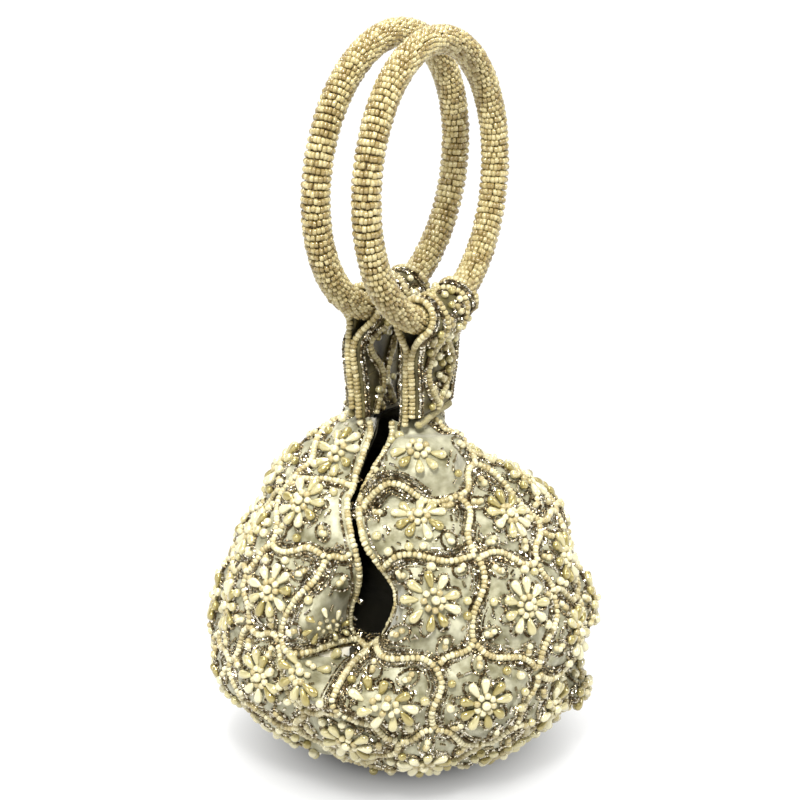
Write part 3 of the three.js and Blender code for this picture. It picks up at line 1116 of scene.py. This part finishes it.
def make_strap(side):
    split = split_share(side)
    high = band_cloth(f"{side}_strap_cloth", side, 0.0, split, 26, 130)
    bend_at_ring(high, side, "satin", [f"{side}_outer_strap", f"{side}_casing"])
    low = band_cloth(f"{side}_strap_foot", side, split, 1.0, 26, 24)
    bend_at_neck(low, side, "satin")
    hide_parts(f"{side}_inner_strap")
    parts = (("strap", 0.0, split, 300, bend_at_ring), ("foot", split, 1.0, 70, bend_at_neck))
    for part, start, end, steps, bend in parts:
        piles = {name: Pile() for name in ("beads", "pearls", "purl")}
        for edge in (-1, 1):
            band_rows(side, edge, np.linspace(start, end, steps), piles)
        band_motifs(side, start, end, piles)
        bend(piles["beads"].build(f"{side}_{part}_beads", SHADED_STRAP_BEADS), side, "cream_bead")
        bend(piles["pearls"].build(f"{side}_{part}_pearls", PEARLS), side, "pearl")
        bend(piles["purl"].build(f"{side}_{part}_purl", SILVERS, smooth_shading=False), side, "silver_purl")


def make_hem(side):
    """Rolled binding at the outer leg's foot, with the slight ribs of its twill."""
    low, high = (np.array(corner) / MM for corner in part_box(f"{side}_hem"))
    radius = (high[2] - low[2]) / 2 * 1.12
    x = np.linspace(low[0] + 0.2, high[0] - 0.2, 90)
    ends = np.minimum(x - x[0], x[-1] - x)
    size = radius * np.sqrt(np.clip(ends / 1.2, 0.02, 1)) * (1 + 0.05 * np.cos(x * 2 * np.pi / 1.1))
    size += 0.06 * np.sin(x * 0.9 + 1)
    angles = 2 * np.pi * np.arange(14) / 14
    _, middle_y, middle_z = (low + high) / 2
    y = middle_y + 0.8 * STRAPS[side]["out"] + size[:, None] * np.cos(angles)
    z = middle_z + size[:, None] * np.sin(angles)
    z += (0.25 * np.sin(x / 5) - 0.8 * smooth(-x, 0, 14))[:, None]
    pile = Pile()
    pile.add_tube(np.stack([x[:, None] + 0 * angles, y, z], -1), 0)
    finish_piece(pile.build(f"{side}_binding", [BINDING]), f"{side}_strap", [f"{side}_hem"])


# ---------------------------------------------------------------- rings


RINGS = {
    "front": {"place": node_centre("front_ring_core"), "lean": -1.5, "yaw": 0.0},
    "back": {"place": node_centre("back_ring_core"), "lean": 1.5, "yaw": -2.2},
}


def ring_to_world(side, points, directions=False):
    """From the ring's own frame, its axis along Y, to the object's."""
    lean, yaw = np.radians(RINGS[side]["lean"]), np.radians(RINGS[side]["yaw"])
    x, y, z = points[..., 0], points[..., 1], points[..., 2]
    y, z = y * np.cos(lean) - z * np.sin(lean), y * np.sin(lean) + z * np.cos(lean)
    x, y = x * np.cos(yaw) - y * np.sin(yaw), x * np.sin(yaw) + y * np.cos(yaw)
    moved = np.stack([x, y, z], -1)
    return moved if directions else moved + RINGS[side]["place"]


def torus_place(turn, around, tube):
    """Place and outward normal at an angle along the ring, 0 at its lowest point, and round its tube,
    where 0 is away from the ring's centre."""
    outward = np.stack([np.sin(turn) * np.cos(around), np.sin(around), -np.cos(turn) * np.cos(around)], -1)
    hub = RING_RADIUS * np.stack([np.sin(turn), 0 * turn, -np.cos(turn)], -1)
    return hub + outward * np.asarray(tube)[..., None], outward


def bead_ring(side):
    """The ring's rows of seed beads, each row once round its tube, and the tape under them."""
    rows, row_beads = 126, 18
    bead_diameter = 2.15
    to_bead = RING_TUBE - bead_diameter / 2
    row = np.repeat(np.arange(rows), row_beads)
    bead = np.tile(np.arange(row_beads), rows)
    count = len(row)
    drift = random.normal(0, 0.08, rows).cumsum() * 0.6 + 0.12 * np.arange(rows)
    turn = 2 * np.pi * (row + 0.5) / rows + random.normal(0, 0.0025, count)
    around = 2 * np.pi * bead / row_beads + drift[row] + random.normal(0, 0.03, count)
    centres, normals = torus_place(turn, around, to_bead + random.normal(0, 0.06, count))
    ahead = torus_place(turn, around + 0.05, RING_TUBE)[0] - torus_place(turn, around - 0.05, RING_TUBE)[0]
    ahead += random.normal(0, 0.03, ahead.shape)
    size = bead_diameter * random.normal(1, 0.03, count)
    length = 2 * np.pi * to_bead / row_beads * random.normal(1.04, 0.04, count)
    frames = frames_from(ring_to_world(side, ahead, True), ring_to_world(side, normals, True))
    pile = Pile()
    places, sizes = ring_to_world(side, centres), np.stack([length, size, size], 1)
    pile.add_copies(BARREL, places, frames, sizes, random.integers(0, SHADES, count))
    piece = pile.build(f"{side}_ring_beads", RING_BEADS)
    finish_piece(piece, f"{side}_ring", [f"{side}_bead_wrap"])
    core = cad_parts[f"{side}_ring_core"]
    core.data.materials.clear()
    core.data.materials.append(RING_TAPE)
    core.data.polygons.foreach_set("use_smooth", [True] * len(core.data.polygons))


# ---------------------------------------------------------------- stage


def point_at(thing, target):
    thing.rotation_euler = (Vector(target) - thing.location).to_track_quat("-Z", "Y").to_euler()


def add_camera():
    camera = bpy.data.objects.new("camera", bpy.data.cameras.new("camera"))
    camera.data.sensor_width = 36
    camera.data.lens = 110.39
    camera.data.clip_start, camera.data.clip_end = 0.05, 20
    camera.location = Vector((-0.67123, -0.35435, 0.37552))
    point_at(camera, (-0.001636, 0.001083, 0.11996))
    bpy.context.scene.collection.objects.link(camera)
    bpy.context.scene.camera = camera


def add_light(name, place, size, watts, target=(0, 0, 0.12)):
    light = bpy.data.lights.new(name, "AREA")
    light.shape = "RECTANGLE"
    light.size, light.size_y = size
    light.energy = watts
    holder = bpy.data.objects.new(name, light)
    holder.location = place
    point_at(holder, target)
    bpy.context.scene.collection.objects.link(holder)


def add_world():
    """A pale horizon and a dark sky, which the beads and pearls mirror."""
    world = bpy.data.worlds.new("studio")
    world.use_nodes = True
    nodes = world.node_tree.nodes
    place, split, ramp = add_nodes(nodes, "TexCoord", "SeparateXYZ", "ValToRGB")
    sky, top = ramp.color_ramp.elements
    sky.position, sky.color = 0.2, (0.8, 0.8, 0.8, 1)
    top.position, top.color = 0.36, (0.05, 0.05, 0.05, 1)
    wire(
        world.node_tree.links, (place, "Generated", split, "Vector"), (split, "Z", ramp, "Fac"),
        (ramp, "Color", nodes["Background"], "Color"),
    )
    bpy.context.scene.world = world


def add_floor():
    """White paper, which glows everywhere but under the bag. The glow fades close to the bag's foot: a
    painted contact shadow, which also dims the light the paper sends up under the bag.
    """
    bpy.ops.mesh.primitive_plane_add(size=8, location=(0, 0, -0.0002))
    floor = bpy.context.object
    floor.name = "floor"
    paper = plain_material("floor_paper", (0.15, 0.15, 0.15, 1), 0.9, specular=0.1)
    nodes = paper.node_tree.nodes
    shader = nodes["Principled BSDF"]
    set_inputs(shader, {"Emission Color": (1, 1, 0.99, 1)})
    place, distance, glow = add_nodes(nodes, "TexCoord", "VectorMath", "MapRange")
    distance.operation = "LENGTH"
    # The dim ring round the bag's foot is a painted contact shadow.
    set_inputs(glow, {"From Min": 0.03, "From Max": 0.062, "To Min": 0.1, "To Max": 0.88})
    wire(
        paper.node_tree.links, (place, "Object", distance, 0), (distance, "Value", glow, "Value"),
        (glow, "Result", shader, "Emission Strength"),
    )
    floor.data.materials.append(paper)


def add_stage():
    add_world()
    add_floor()
    add_light("key", (-0.75, -0.3, 1.15), (0.3, 0.3), 25)
    add_light("left", (-1.0, 0.5, 0.6), (0.12, 0.6), 2.5)
    add_light("right", (0.35, -1.0, 0.8), (0.12, 0.6), 5.5)
    add_light("top", (0.15, 0.25, 1.4), (0.4, 0.4), 13)
    add_light("backdrop", (1.5, 0.8, 1.3), (2.4, 2.4), 30, target=(1.5, 0.8, 0))
    settings = bpy.context.scene.view_settings
    settings.view_transform = "Standard"
    settings.look = "None"


add_camera()
add_stage()
make_pouch_cloth()
embroider_pouch()
for side in SIDES:
    make_strap(side)
    make_hem(side)
    bead_ring(side)
